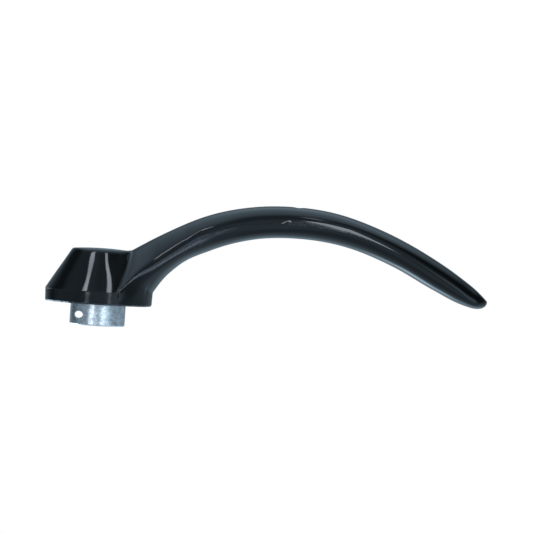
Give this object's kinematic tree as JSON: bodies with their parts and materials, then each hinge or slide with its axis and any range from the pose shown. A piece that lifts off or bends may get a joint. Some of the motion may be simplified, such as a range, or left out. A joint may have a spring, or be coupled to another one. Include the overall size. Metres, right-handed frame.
{
  "type": "car door handle",
  "caption": "Inside door lever for a car: conical base, long arched arm and a drilled boss that takes the lock's square spindle.",
  "frame": {"origin": "on the spindle's axis, at the mouth of the boss", "axes": "+Z along the spindle's axis towards the top of the lever, +X along the arm, and the lever is the same on its +Y and -Y sides"},
  "size_m": [0.1848, 0.0446, 0.0543],
  "materials": {
    "black_moulding": "polished black moulding compound with a ground-off parting flash",
    "zinc_plated_steel": "turned steel with a dull blue-grey zinc plating, lightly scratched",
    "core_steel": "mill finish bar, hidden inside the moulding"
  },
  "bodies": {
    "root": {"lever_moulding": "black_moulding", "spindle_boss": "zinc_plated_steel", "arm_core": "core_steel"}
  },
  "joints": []
}
